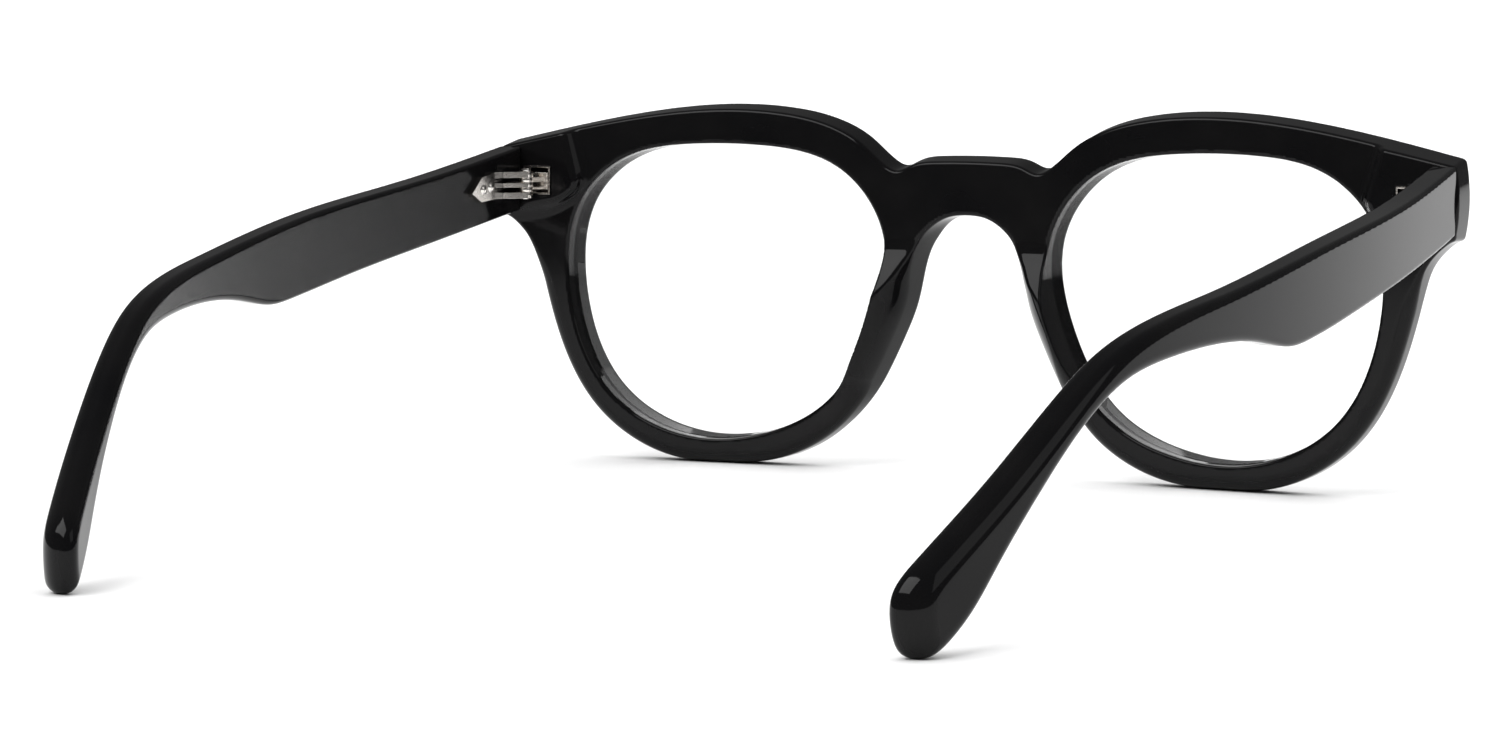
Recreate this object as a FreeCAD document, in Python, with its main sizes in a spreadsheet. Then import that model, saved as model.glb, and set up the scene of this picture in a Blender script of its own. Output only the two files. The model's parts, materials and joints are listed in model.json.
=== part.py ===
"""Acetate eyeglasses: a thick polished front, two lenses, two glued nose pads and two folding temples.

Every sub-part is drawn in the frame of the eyeglass front: X across the face, positive to the left temple,
Y backwards towards the ears, Z up, zero at mid lens height in the middle of the bridge. One common Placement
then tips the open eyeglasses back until the rim bottoms and the temple tips share the floor, and moves the
origin to the bottom centre of the bounding box.
"""

import FreeCAD, Part
import math
import os

from FreeCAD import Placement, Rotation, Vector

doc = FreeCAD.newDocument("eyeglasses")

# ---------------------------------------------------------------------------------------------------------
# Driving dimensions, in millimetres and degrees
# ---------------------------------------------------------------------------------------------------------
DIMENSIONS = (
    # the front: lens centres are lens width + bridge width apart
    ("lens_width", 50.0),
    ("bridge_width", 25.0),
    ("front_half_width", 72.7),
    ("front_thickness", 4.8),
    ("wrap_radius", 730.0),
    ("corner_radius", 1.0),
    ("lens_thickness", 1.9),
    ("lens_tuck", 0.45),
    ("groove_depth", 0.5),
    ("groove_width", 2.0),
    ("lens_tilt", 2.94),
    ("block_back", 6.5),
    ("pad_height", 6.6),
    # temples
    ("wire_inset", 1.9),
    ("temple_start", 6.65),
    ("temple_round", 0.9),
    ("wire_radius", 0.7),
    ("wire_gap", 0.02),
    # hinges
    ("knuckle_x", 67.2),
    ("knuckle_y", 8.7),
    ("knuckle_z", 14.5),
    ("knuckle_radius", 1.1),
    ("outer_barrel", 0.85),
    ("inner_barrel", 0.65),
    ("barrel_gap", 0.05),
    ("screw_radius", 0.6),
    ("screw_running_gap", 0.05),
    ("screw_head_radius", 0.85),
    ("screw_head_height", 0.45),
    ("screw_slot_depth", 0.25),
    ("leaf_thickness", 0.8),
    ("rivet_radius", 0.45),
    ("rivet_head_radius", 0.75),
    ("rivet_head_height", 0.4),
    ("rivet_depth", 2.4),
    ("bezel_wall", 0.25),
    ("bezel_depth", 1.2),
    ("bezel_proud", 0.1),
    # the rest pose on the floor
    ("rest_tilt", 2.163),
    ("rest_y", 0.0),
    ("rest_z", 0.0),
)

dims = doc.addObject("Spreadsheet::Sheet", "dims")
for row, (alias, value) in enumerate(DIMENSIONS, 1):
    dims.set(f"A{row}", alias)
    dims.set(f"B{row}", str(value))
    dims.setAlias(f"B{row}", alias)
doc.recompute()


def dim(alias):
    """The value of one cell of the sheet."""
    return float(dims.get(alias))


# ---------------------------------------------------------------------------------------------------------
# Outlines, as few (a, b) points in millimetres joined by smooth curves
# ---------------------------------------------------------------------------------------------------------
# Lens edge as seen from behind: (angle from the temple side in degrees, distance from the lens centre)
LENS_SHAPE = (
    (0, 24.3), (30, 25.8), (50, 24.4), (75, 21.5), (105, 21.5), (135, 25.1),
    (160, 26.1), (190, 23.4), (225, 22.0), (255, 21.0), (285, 21.6), (320, 23.3),
)
# Front outline, +X half, (x, z): from the middle of the bridge over the top to the outer corner
TOP_EDGE = (
    (0, 20.0), (5, 19.9), (8.6, 19.3), (10.8, 18.5), (12.8, 19.4), (16.2, 22.2), (21, 24.7),
    (28, 26.3), (36, 26.8), (45, 26.3), (54, 25.0), (63, 23.2),
)
TOP_CORNER_Z = 20.2
TOP_CORNER_SLOPE = 13.0
# from the top of the nose arch to the short flat under the rim
NOSE_EDGE = (
    (0, 11.5), (2.9, 11.1), (5.3, 9.5), (7.3, 6.5), (8.3, 3), (9.2, -1), (11.2, -6), (14.2, -12),
    (17.8, -17.2), (23, -21.5), (29.5, -24.2), (36, -25.0),
)
# and from the flat up the outer side of the rim to the lower outer corner
OUTER_EDGE = (
    (42, -25.0), (47.1, -24.3), (53.0, -21.8), (58.2, -17.6), (61.9, -12.3), (64.5, -6.2), (66.3, -0.1),
    (67.2, 3.4), (68.4, 6.6), (70.3, 8.8),
)
LOW_CORNER_Z = 10.9
LOW_CORNER_TURN = 70.0
# Raised hinge block on the back of each outer corner, (x, z), and the y where it starts inside the slab
BLOCK = ((62.6, 24.5), (59.7, 14.4), (61.3, 12.2), (73.5, 10.3), (73.5, 24.5))
BLOCK_ROOT = 1.5
# Nose pad seen from behind, (x, z), and its ridge seen from the side, (y, z)
PAD_SHAPE = (
    (10.9, 7.2), (9.3, 3.6), (9.9, -1.6), (12.0, -7), (14.4, -11.3), (16.4, -13.4),
    (16.2, -10.6), (14.9, -6), (13.6, -1), (12.7, 3), (12.2, 6),
)
PAD_RIDGE_TOP = 7.6
PAD_RIDGE_BOTTOM = -13.8
PAD_RIDGE_MIDDLE = -1.5
# Temple seen from above, (y, x of the outer face, thickness): it bows out, turns in and thickens to the tip
TEMPLE_BOW = (
    (6.65, 72.7, 3.8), (30, 74.1, 3.8), (50, 74.6, 3.8), (70, 74.0, 3.8),
    (90, 72.0, 3.9), (110, 68.3, 4.3), (130, 62.6, 4.9), (146, 56.3, 5.2),
)
# Temple side view, (y, z): over the top to the tip and back along the lower edge to the hinge
TEMPLE_SIDE = (
    (6.65, 20.0), (30, 16.0), (60, 12.0), (88, 7.3), (102, 4.7), (111, 1.6), (119, -3.5), (129, -11.5),
    (139, -19.4), (142.3, -23.0), (142.6, -26.6), (140.8, -30.3), (137.3, -28.7), (131, -21.4), (124, -13.0),
    (117, -6.3), (110, -2.0), (101, 0.3), (90, 1.4), (81, 1.2), (75.5, 0.5), (71.5, 0.1), (66, 0.6),
    (50, 3.3), (30, 6.6), (6.65, 10.7),
)
# Core wire inside the temple, (y, z), along the middle of the side view
WIRE_ROUTE = ((27, 11.7), (50, 8.4), (75, 5.0), (95, 3.5), (106, 1.6), (114, -2.0), (122, -8.2), (131, -16.3))
# Temple leaf, (y, z): a plate with a pointed tail and a straight neck that carries the fingers
LEAF = ((14.5, 12.6), (18.4, 12.2), (20.9, 13.5), (18.4, 15.8), (14.5, 16.3))
LEAF_RIVETS = ((16.1, 14.3), (18.0, 14.0))
# The leaf turns outwards with the temple's inner face, which lies LEAF_FACE out from the hinge axis
LEAF_SPLAY = 3.4
LEAF_FACE = 1.85
# Finger seen from above, (distance behind the hinge axis, distance out)
FINGER = ((0.6, -0.92), (4.6, 0.75), (6.4, 1.05), (6.4, 1.85), (2.6, 1.85), (0.4, 1.02))
# The front leaf's arm seen from above, relative to the hinge axis, and its foot, (x, z)
ARM = [(-0.75, 0.0), (0.75, 0.0), (0.75, -3.0), (-0.75, -3.0)]
FOOT = ((64.9, 13.8), (68.2, 16.2))
FOOT_BACK = 6.1
FOOT_THICKNESS = 0.6
SCREW_TAIL = 0.12
SCREW_SLOT = 0.25
# Bezel in the hinge block, (x, z): low corner and high corner
BEZEL = ((64.3, 13.1), (68.7, 17.2))
# Stock to be trimmed: lowest and highest z of the front slab and of the temple plank, and spare at an end
FRONT_STOCK = (-30.0, 30.0)
TEMPLE_STOCK = (-45.0, 35.0)
SPARE = 5.0
# Half the size of the square that trimming sketches cut away round an outline
FAR = 200.0
# Edges shorter than this stay square at the temple's butt, which ends this close to its start
SHORT_EDGE = 5.7
BUTT_END = 0.1
# The least volume a cut has to take away, and the mesh error allowed when finding the lowest points
LEAST_CUT = 0.001
MESH_ERROR = 0.02


# ---------------------------------------------------------------------------------------------------------
# Helpers
# ---------------------------------------------------------------------------------------------------------
def new_body(label):
    """An empty PartDesign body whose label names its file."""
    body = doc.addObject("PartDesign::Body", label)
    body.Label = label
    return body


def sketch_on(body, name, role, offset=Placement()):
    """A sketch attached to one of the body's own origin planes, moved along or turned by offset."""
    sketch = body.newObject("Sketcher::SketchObject", name)
    plane = [f for f in body.Origin.OriginFeatures if f.Role == role][0]
    sketch.AttachmentSupport = [(plane, "")]
    sketch.MapMode = "FlatFace"
    sketch.AttachmentOffset = offset
    return sketch


def smooth(points, closed=False, start=None, end=None):
    """A smooth curve through plane points, with its end directions where they are given."""
    curve = Part.BSplineCurve()
    through = [Vector(a, b, 0) for a, b in points]
    if closed:
        curve.interpolate(Points=through, PeriodicFlag=True)
    elif start is not None:
        curve.interpolate(Points=through, InitialTangent=Vector(*start, 0), FinalTangent=Vector(*end, 0))
    else:
        curve.interpolate(Points=through)
    return curve


def smooth_run(points, cuts, start=None, end=None):
    """One smooth curve through the points, handed back as separate edges that meet at the cut points."""
    curve = smooth(points, start=start, end=end)
    stops = [curve.parameter(Vector(*points[i], 0)) for i in cuts]
    stops = [curve.FirstParameter] + stops + [curve.LastParameter]
    edges = []
    for low, high in zip(stops, stops[1:]):
        part = curve.copy()
        part.segment(low, high)
        edges.append(part)
    return edges


def line(a, b):
    """A straight edge between two plane points."""
    return Part.LineSegment(Vector(*a, 0), Vector(*b, 0))


def joined_ends(a, b):
    """The two straight edges that join the starts and the ends of two curves."""
    return [Part.LineSegment(a.StartPoint, b.StartPoint), Part.LineSegment(a.EndPoint, b.EndPoint)]


def arc(a, b, c):
    """An arc from a to c through b."""
    return Part.Arc(*(Vector(*p, 0) for p in (a, b, c)))


def polygon(points):
    """The closed run of straight edges through the points."""
    return [line(a, b) for a, b in zip(points, points[1:] + points[:1])]


def rectangle(low, high):
    """The four edges of an upright rectangle."""
    return polygon([low, (high[0], low[1]), high, (low[0], high[1])])


def mirrored_box(side, box):
    """The low and high corners of a box given for the left side, on its own side of the face."""
    (low_x, low_z), (high_x, high_z) = box
    xs = sorted((side * low_x, side * high_x))
    return (xs[0], low_z), (xs[1], high_z)


def facing_back(y):
    """A sketch offset in the XZ plane: at the given y."""
    return Placement(Vector(0, 0, -y), Rotation())


def pad(body, name, sketch, length=None, cell=None, symmetric=False, reverse=False):
    """A Pad of the sketch, its length a number or a cell of the sheet."""
    feature = body.newObject("PartDesign::Pad", name)
    feature.Profile = sketch
    feature.Midplane = symmetric
    feature.Reversed = reverse
    if cell:
        feature.setExpression("Length", f"dims.{cell}")
    else:
        feature.Length = length
    doc.recompute()
    return feature


def pocket(body, name, sketch, cell=None, through=False, symmetric=False, reverse=False):
    """A Pocket of the sketch. It has to take material away."""
    before = body.Shape.Volume
    feature = body.newObject("PartDesign::Pocket", name)
    feature.Profile = sketch
    if through:
        feature.Type = 1
    feature.Midplane = symmetric
    feature.Reversed = reverse
    if cell:
        feature.setExpression("Length", f"dims.{cell}")
    doc.recompute()
    if body.Shape.Volume > before - LEAST_CUT:
        raise RuntimeError(f"{name} cuts nothing")
    return feature


def fillet(body, name, edges, cell):
    """A Fillet over the edges that pass the test, with the cell's radius."""
    base = body.Tip
    names = [f"Edge{i}" for i, edge in enumerate(base.Shape.Edges, 1) if edges(edge)]
    feature = body.newObject("PartDesign::Fillet", name)
    feature.Base = (base, names)
    feature.setExpression("Radius", f"dims.{cell}")
    doc.recompute()
    return feature


def lens_centre(side):
    """The x of a lens centre."""
    return side * (dim("lens_width") + dim("bridge_width")) / 2


def lens_outline(side, grow=0.0, centre=None):
    """The closed lens edge curve on its side of the face, moved outwards by grow."""
    middle = lens_centre(side) if centre is None else centre
    points = []
    for angle, radius in LENS_SHAPE:
        turn = math.radians(angle)
        points.append((middle + side * (radius + grow) * math.cos(turn), (radius + grow) * math.sin(turn)))
    return smooth(points, closed=True)


def wrap_y(x):
    """How far the middle of the wrapped front lies behind the middle of the bridge."""
    return dim("wrap_radius") - math.sqrt(dim("wrap_radius") ** 2 - x * x)


def arc_through(radius, half_angle):
    """An arc of the wrap, concentric with the front's middle surface, from -X to +X."""
    centre_y = dim("wrap_radius")
    end_x = radius * math.sin(half_angle)
    end_y = centre_y - radius * math.cos(half_angle)
    return arc((-end_x, end_y), (0, centre_y - radius), (end_x, end_y))


# ---------------------------------------------------------------------------------------------------------
# The front
# ---------------------------------------------------------------------------------------------------------
def lens_plane(side):
    """The tilted plane of one lens, as an offset from the XZ plane."""
    x = lens_centre(side)
    turn = Rotation(Vector(0, 1, 0), side * dim("lens_tilt"))
    return Placement(Vector(x, 0, -wrap_y(x)), turn)


def on_side(side, points):
    """Plane points given for the left side, on their own side of the face."""
    return [(side * x, z) for x, z in points]


def front_outline():
    """The edges of the front outline, half by half: the top, the outer corner and side, the rim, the nose."""
    radius = dim("corner_radius")
    side_x = dim("front_half_width")
    centre_x = side_x - radius
    top_turn = math.radians(TOP_CORNER_SLOPE)
    low_turn = math.radians(LOW_CORNER_TURN)
    mid_turn = (math.pi / 2 - top_turn) / 2
    top_end = (centre_x + radius * math.sin(top_turn), TOP_CORNER_Z + radius * math.cos(top_turn))
    top_mid = (centre_x + radius * math.cos(mid_turn), TOP_CORNER_Z + radius * math.sin(mid_turn))
    low_end = (centre_x + radius * math.cos(low_turn), LOW_CORNER_Z - radius * math.sin(low_turn))
    low_mid = (centre_x + radius * math.cos(low_turn / 2), LOW_CORNER_Z - radius * math.sin(low_turn / 2))
    edges = []
    for side in (1, -1):
        top = on_side(side, TOP_EDGE + (top_end,))
        edges += smooth_run(top, (4, 8), (side, 0), (side * math.cos(top_turn), -math.sin(top_turn)))
        edges.append(arc(*on_side(side, (top_end, top_mid, (side_x, TOP_CORNER_Z)))))
        edges.append(line(*on_side(side, ((side_x, TOP_CORNER_Z), (side_x, LOW_CORNER_Z)))))
        edges.append(arc(*on_side(side, ((side_x, LOW_CORNER_Z), low_mid, low_end))))
        edges += smooth_run(on_side(side, NOSE_EDGE), (4,), (side, 0), (side, 0))
        edges.append(line(*on_side(side, (NOSE_EDGE[-1], OUTER_EDGE[0]))))
        outer = on_side(side, OUTER_EDGE + (low_end,))
        edges += smooth_run(outer, (7,), (side, 0), (side * math.sin(low_turn), math.cos(low_turn)))
    return edges


def build_front():
    """The acetate front: a wrapped slab with hinge blocks, cut to outline, with lens openings and grooves."""
    body = new_body("front_frame")
    half = dim("front_thickness") / 2
    low, high = FRONT_STOCK
    section = sketch_on(body, "wrap_section", "XY_Plane", Placement(Vector(0, 0, low), Rotation()))
    turn = math.asin((dim("front_half_width") + SPARE) / dim("wrap_radius"))
    inner = arc_through(dim("wrap_radius") - half, turn)
    outer = arc_through(dim("wrap_radius") + half, turn)
    section.addGeometry([inner, outer])
    section.addGeometry(joined_ends(outer, inner))
    pad(body, "wrap_slab", section, length=high - low)

    blocks = sketch_on(body, "block_outline", "XZ_Plane", facing_back(dim("block_back")))
    blocks.setExpression("AttachmentOffset.Base.z", "-dims.block_back")
    for side in (1, -1):
        blocks.addGeometry(polygon(on_side(side, BLOCK)))
    pad(body, "hinge_blocks", blocks, length=dim("block_back") - BLOCK_ROOT)

    outline = sketch_on(body, "front_outline", "XZ_Plane")
    outline.addGeometry(front_outline())
    outline.addGeometry(rectangle((-FAR, -FAR), (FAR, FAR)))
    pocket(body, "trim_to_outline", outline, through=True, symmetric=True)

    openings = sketch_on(body, "lens_openings_outline", "XZ_Plane")
    openings.addGeometry([lens_outline(side) for side in (1, -1)])
    pocket(body, "lens_openings", openings, through=True, symmetric=True)

    for side, name in ((1, "left"), (-1, "right")):
        groove = sketch_on(body, f"groove_outline_{name}", "XZ_Plane", lens_plane(side))
        groove.addGeometry(lens_outline(side, dim("groove_depth"), centre=0.0))
        pocket(body, f"lens_groove_{name}", groove, cell="groove_width", symmetric=True)

    seats = sketch_on(body, "bezel_seats_outline", "XZ_Plane", facing_back(dim("block_back")))
    seats.setExpression("AttachmentOffset.Base.z", "-dims.block_back")
    for side in (1, -1):
        seats.addGeometry(rectangle(*mirrored_box(side, BEZEL)))
    pocket(body, "bezel_seats", seats, cell="bezel_depth", reverse=True)
    return body


def build_lens(side, name):
    """A clear lens: a thin plate of the opening's shape whose rim sits in the groove."""
    body = new_body(f"lens_{name}")
    sketch = sketch_on(body, "lens_outline", "XZ_Plane", lens_plane(side))
    sketch.addGeometry(lens_outline(side, dim("lens_tuck"), centre=0.0))
    pad(body, "lens_plate", sketch, cell="lens_thickness", symmetric=True)
    return body


def build_nose_pad(side, name):
    """A crescent of acetate glued to the back of the nose side of a rim, rising to a rounded ridge."""
    body = new_body(f"nose_pad_{name}")
    sketch = sketch_on(body, "pad_outline", "XZ_Plane", facing_back(dim("pad_height")))
    sketch.setExpression("AttachmentOffset.Base.z", "-dims.pad_height")
    sketch.addGeometry(smooth(on_side(side, PAD_SHAPE), closed=True))
    base = dim("front_thickness") / 2
    pad(body, "pad_block", sketch, length=dim("pad_height") - base)
    # everything outside the ridge, seen from the side, is taken off
    ridge = sketch_on(body, "ridge_outline", "YZ_Plane")
    corners = [
        (base, PAD_RIDGE_BOTTOM), (base - SPARE, PAD_RIDGE_BOTTOM),
        (base - SPARE, PAD_RIDGE_TOP), (base, PAD_RIDGE_TOP),
    ]
    ridge.addGeometry(arc(corners[3], (dim("pad_height"), PAD_RIDGE_MIDDLE), corners[0]))
    ridge.addGeometry([line(a, b) for a, b in zip(corners, corners[1:])])
    ridge.addGeometry(rectangle((-FAR, -FAR), (FAR, FAR)))
    pocket(body, "ridge", ridge, through=True, symmetric=True)
    return body


# ---------------------------------------------------------------------------------------------------------
# The temples
# ---------------------------------------------------------------------------------------------------------
def bow_curve(side, inset):
    """The temple seen from above: its outer face line at inset 0, its inner face line at inset 1."""
    return smooth([(side * (x - inset * thickness), y) for y, x, thickness in TEMPLE_BOW])


def build_temple(side, name):
    """The acetate temple: a bowed plank trimmed to its side view, with a bore for its core wire."""
    body = new_body(f"temple_acetate_{name}")
    low, high = TEMPLE_STOCK
    plan = sketch_on(body, "bow_outline", "XY_Plane", Placement(Vector(0, 0, low), Rotation()))
    outer = bow_curve(side, 0)
    inner = bow_curve(side, 1)
    plan.addGeometry([outer, inner] + joined_ends(outer, inner))
    pad(body, "bowed_plank", plan, length=high - low)
    profile = sketch_on(body, "side_outline", "YZ_Plane")
    profile.addGeometry(smooth_run(TEMPLE_SIDE, (3, 6, 8, 11, 14, 17, 20, 23)))
    profile.addGeometry(line(TEMPLE_SIDE[-1], TEMPLE_SIDE[0]))
    profile.addGeometry(rectangle((-FAR, -FAR), (FAR, FAR)))
    pocket(body, "trim_to_side_view", profile, through=True, symmetric=True)
    fillet(body, "polished_edges", runs_along_temple, "temple_round")
    return body


def runs_along_temple(edge):
    """True for the long edges of the temple, not those across its thickness or round its butt end."""
    return edge.Length > SHORT_EDGE and edge.CenterOfMass.y > dim("temple_start") + BUTT_END


def wire_tube(side, radius):
    """A round rod along the core wire's route."""
    bow = Part.BSplineCurve()
    bow.interpolate([Vector(y, x, 0) for y, x, thickness in TEMPLE_BOW])
    points = []
    for y, z in WIRE_ROUTE:
        x = bow.value(bow.parameter(Vector(y, dim("front_half_width"), 0))).y - dim("wire_inset")
        points.append(Vector(side * x, y, z))
    path = Part.BSplineCurve()
    path.interpolate(points)
    start = path.value(path.FirstParameter)
    heading = path.tangent(path.FirstParameter)[0]
    circle = Part.Wire(Part.Circle(start, heading, radius).toShape())
    return Part.Wire(path.toShape()).makePipeShell([circle], True, False)


def build_core_wire(side, name):
    """The metal wire shot into the temple, and the bored temple around it."""
    wire = doc.addObject("Part::Feature", f"core_wire_{name}")
    wire.Label = f"core_wire_{name}"
    wire.Shape = wire_tube(side, dim("wire_radius"))
    bore = doc.addObject("Part::Feature", f"wire_bore_{name}")
    bore.Shape = wire_tube(side, dim("wire_radius") + dim("wire_gap"))
    return wire, bore


# ---------------------------------------------------------------------------------------------------------
# The hinges: five barrels on one screw, three on the temple leaf and two on the front leaf
# ---------------------------------------------------------------------------------------------------------
def barrel_levels():
    """The (low z, height) of the five barrels, bottom to top. Odd places belong to the front leaf."""
    outer, inner, gap = dim("outer_barrel"), dim("inner_barrel"), dim("barrel_gap")
    heights = (outer, inner, inner, inner, outer)
    low = dim("knuckle_z") - (sum(heights) + 4 * gap) / 2
    levels = []
    for height in heights:
        levels.append((low, height))
        low += height + gap
    return levels


def knuckle_offset(side, z, turned=True):
    """A sketch offset in the XY plane: origin on the hinge axis, turned with the temple's inner face."""
    turn = -side * LEAF_SPLAY if turned else 0.0
    return Placement(Vector(side * dim("knuckle_x"), dim("knuckle_y"), z), Rotation(Vector(0, 0, 1), turn))


def leaf_plane(side, out):
    """A sketch offset in the YZ plane: parallel to the temple's inner face, out from the hinge axis."""
    turn = math.radians(LEAF_SPLAY)
    x = side * (dim("knuckle_x") + out * math.cos(turn))
    y = dim("knuckle_y") - out * math.sin(turn)
    return Placement(Vector(y, 0, x), Rotation(Vector(0, 1, 0), -side * LEAF_SPLAY))


def along_leaf(y):
    """The distance from the hinge axis along the leaf of a point given by its y."""
    return (y - dim("knuckle_y")) / math.cos(math.radians(LEAF_SPLAY))


def circle_at(a, b, radius):
    """A full circle in a sketch."""
    return Part.Circle(Vector(a, b, 0), Vector(0, 0, 1), radius)


def add_barrel(body, side, level, name, plan):
    """One barrel with the arm that carries it, both as high as its level."""
    low, height = level
    offset = knuckle_offset(side, low, plan is not ARM)
    for part, geometry in (("barrel", [circle_at(0, 0, dim("knuckle_radius"))]), ("arm", polygon(plan))):
        sketch = sketch_on(body, f"{part}_{name}_outline", "XY_Plane", offset)
        sketch.addGeometry(geometry)
        pad(body, f"{part}_{name}", sketch, length=height)


def bore_knuckle(body, side, radius):
    """The screw's bore through every barrel of a leaf."""
    sketch = sketch_on(body, "screw_bore_outline", "XY_Plane", knuckle_offset(side, dim("knuckle_z")))
    sketch.addGeometry(circle_at(0, 0, radius))
    pocket(body, "screw_bore", sketch, through=True, symmetric=True)


def build_temple_leaf(side, name):
    """The temple's hinge leaf: a pointed plate on the inner face and three fingers that end in barrels."""
    body = new_body(f"temple_hinge_leaf_{name}")
    thickness = dim("leaf_thickness")
    plate = sketch_on(body, "plate_outline", "YZ_Plane", leaf_plane(side, LEAF_FACE - thickness))
    plate.addGeometry(polygon([(along_leaf(y), z) for y, z in LEAF]))
    pad(body, "plate", plate, cell="leaf_thickness", reverse=side < 0)
    finger = [(side * n, s) for s, n in FINGER]
    levels = barrel_levels()
    for place in (0, 2, 4):
        add_barrel(body, side, levels[place], f"{place}", finger)
    bore_knuckle(body, side, dim("screw_radius"))
    holes = sketch_on(body, "rivet_holes_outline", "YZ_Plane", leaf_plane(side, LEAF_FACE))
    holes.addGeometry([circle_at(along_leaf(y), z, dim("rivet_radius")) for y, z in LEAF_RIVETS])
    pocket(body, "rivet_holes", holes, through=True, symmetric=True)
    return body


def build_front_leaf(side, name):
    """The front's hinge leaf: a foot in the bezel and two arms that end in barrels."""
    body = new_body(f"front_hinge_leaf_{name}")
    foot = sketch_on(body, "foot_outline", "XZ_Plane", facing_back(FOOT_BACK))
    foot.addGeometry(rectangle(*mirrored_box(side, FOOT)))
    pad(body, "foot", foot, length=FOOT_THICKNESS)
    levels = barrel_levels()
    for place in (1, 3):
        add_barrel(body, side, levels[place], f"{place}", ARM)
    bore_knuckle(body, side, dim("screw_radius") + dim("screw_running_gap"))
    return body


def build_bezel(side, name):
    """The shallow metal tray sunk in the hinge block, with a thin bright rim."""
    body = new_body(f"hinge_bezel_{name}")
    top = dim("block_back") + dim("bezel_proud")
    (low_x, low_z), (high_x, high_z) = mirrored_box(side, BEZEL)
    wall = dim("bezel_wall")
    outline = sketch_on(body, "tray_outline", "XZ_Plane", facing_back(top))
    outline.addGeometry(rectangle((low_x, low_z), (high_x, high_z)))
    pad(body, "tray", outline, length=dim("bezel_depth") + dim("bezel_proud"))
    hollow = sketch_on(body, "tray_hollow_outline", "XZ_Plane", facing_back(FOOT_BACK - FOOT_THICKNESS))
    hollow.addGeometry(rectangle((low_x + wall, low_z + wall), (high_x - wall, high_z - wall)))
    pocket(body, "tray_hollow", hollow, through=True)
    return body


def build_screw(side, name):
    """The slotted hinge screw, head up."""
    body = new_body(f"hinge_screw_{name}")
    levels = barrel_levels()
    low = levels[0][0] - SCREW_TAIL
    top = levels[4][0] + levels[4][1]
    shank = sketch_on(body, "shank_outline", "XY_Plane", knuckle_offset(side, low))
    shank.addGeometry(circle_at(0, 0, dim("screw_radius")))
    pad(body, "shank", shank, length=top - low)
    head = sketch_on(body, "head_outline", "XY_Plane", knuckle_offset(side, top))
    head.addGeometry(circle_at(0, 0, dim("screw_head_radius")))
    pad(body, "head", head, cell="screw_head_height")
    slot = sketch_on(body, "slot_outline", "XY_Plane", knuckle_offset(side, top + dim("screw_head_height")))
    half_width, half_length = SCREW_SLOT / 2, 1.2 * dim("screw_head_radius")
    slot.addGeometry(rectangle((-half_width, -half_length), (half_width, half_length)))
    pocket(body, "slot", slot, cell="screw_slot_depth")
    return body


def build_rivets(side, name):
    """Two domed rivets, one solid each, that pin the leaf's plate to the temple."""
    group = doc.addObject("Part::Feature", f"temple_rivets_{name}")
    group.Label = f"temple_rivets_{name}"
    seat = leaf_plane(side, LEAF_FACE - dim("leaf_thickness"))
    turn = math.radians(LEAF_SPLAY)
    inward = Vector(-side * math.cos(turn), math.sin(turn), 0)
    solids = []
    for y, z in LEAF_RIVETS:
        run = along_leaf(y)
        centre = Vector(seat.Base.z + side * run * math.sin(turn), seat.Base.x + run * math.cos(turn), z)
        reach, rise = dim("rivet_head_radius"), dim("rivet_head_height")
        ball = (reach * reach + rise * rise) / (2 * rise)
        dome = Part.makeSphere(ball, centre - inward * (ball - rise))
        dome = dome.common(Part.makeCylinder(2 * reach, 2 * rise, centre, inward))
        shank = Part.makeCylinder(dim("rivet_radius"), dim("rivet_depth"), centre, -inward)
        solids.append(dome.fuse(shank).removeSplitter())
    group.Shape = Part.makeCompound([s.Solids[0] for s in solids])
    return group


def drill_rivet_holes(body, side):
    """The rivets' holes in the temple's acetate."""
    plane = leaf_plane(side, LEAF_FACE - dim("leaf_thickness"))
    holes = sketch_on(body, "rivet_holes_outline", "YZ_Plane", plane)
    holes.addGeometry([circle_at(along_leaf(y), z, dim("rivet_radius")) for y, z in LEAF_RIVETS])
    pocket(body, "rivet_holes", holes, cell="rivet_depth", reverse=side > 0)


# ---------------------------------------------------------------------------------------------------------
# Assembly
# ---------------------------------------------------------------------------------------------------------
parts = [build_front()]
for side, name in ((1, "left"), (-1, "right")):
    parts.append(build_lens(side, name))
    parts.append(build_nose_pad(side, name))
    parts.append(build_bezel(side, name))
    parts.append(build_front_leaf(side, name))
    parts.append(build_temple_leaf(side, name))
    parts.append(build_screw(side, name))
    parts.append(build_rivets(side, name))
    acetate = build_temple(side, name)
    drill_rivet_holes(acetate, side)
    wire, bore = build_core_wire(side, name)
    temple = doc.addObject("Part::Cut", f"temple_{name}")
    temple.Label = f"temple_{name}"
    temple.Base = acetate
    temple.Tool = bore
    parts += [temple, wire]
doc.recompute()


def tipped_back(item):
    """The corners of an item's fine mesh after the tip back about the X axis."""
    turn = Rotation(Vector(1, 0, 0), dim("rest_tilt"))
    return [turn.multVec(point) for point in item.Shape.tessellate(MESH_ERROR)[0]]


# the rest shift: lowest point on the floor, origin halfway between the front and the temple tips
corners = []
for item in parts:
    if item.Label in ("front_frame", "temple_left"):
        points = tipped_back(item)
        corners += points
        print(item.Label, "reaches down to", round(min(p.z for p in points), 3))
lows = [min(p[axis] for p in corners) for axis in (1, 2)]
middle_y = (lows[0] + max(p.y for p in corners)) / 2
for alias, value in (("rest_y", -middle_y), ("rest_z", -lows[1])):
    dims.set(dims.getCellFromAlias(alias), f"{value:.4f}")
doc.recompute()

at_rest = Placement(Vector(0, dim("rest_y"), dim("rest_z")), Rotation(Vector(1, 0, 0), dim("rest_tilt")))
for item in parts:
    item.Placement = at_rest
    item.setExpression("Placement.Base.y", "dims.rest_y")
    item.setExpression("Placement.Base.z", "dims.rest_z")
doc.recompute()

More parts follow.
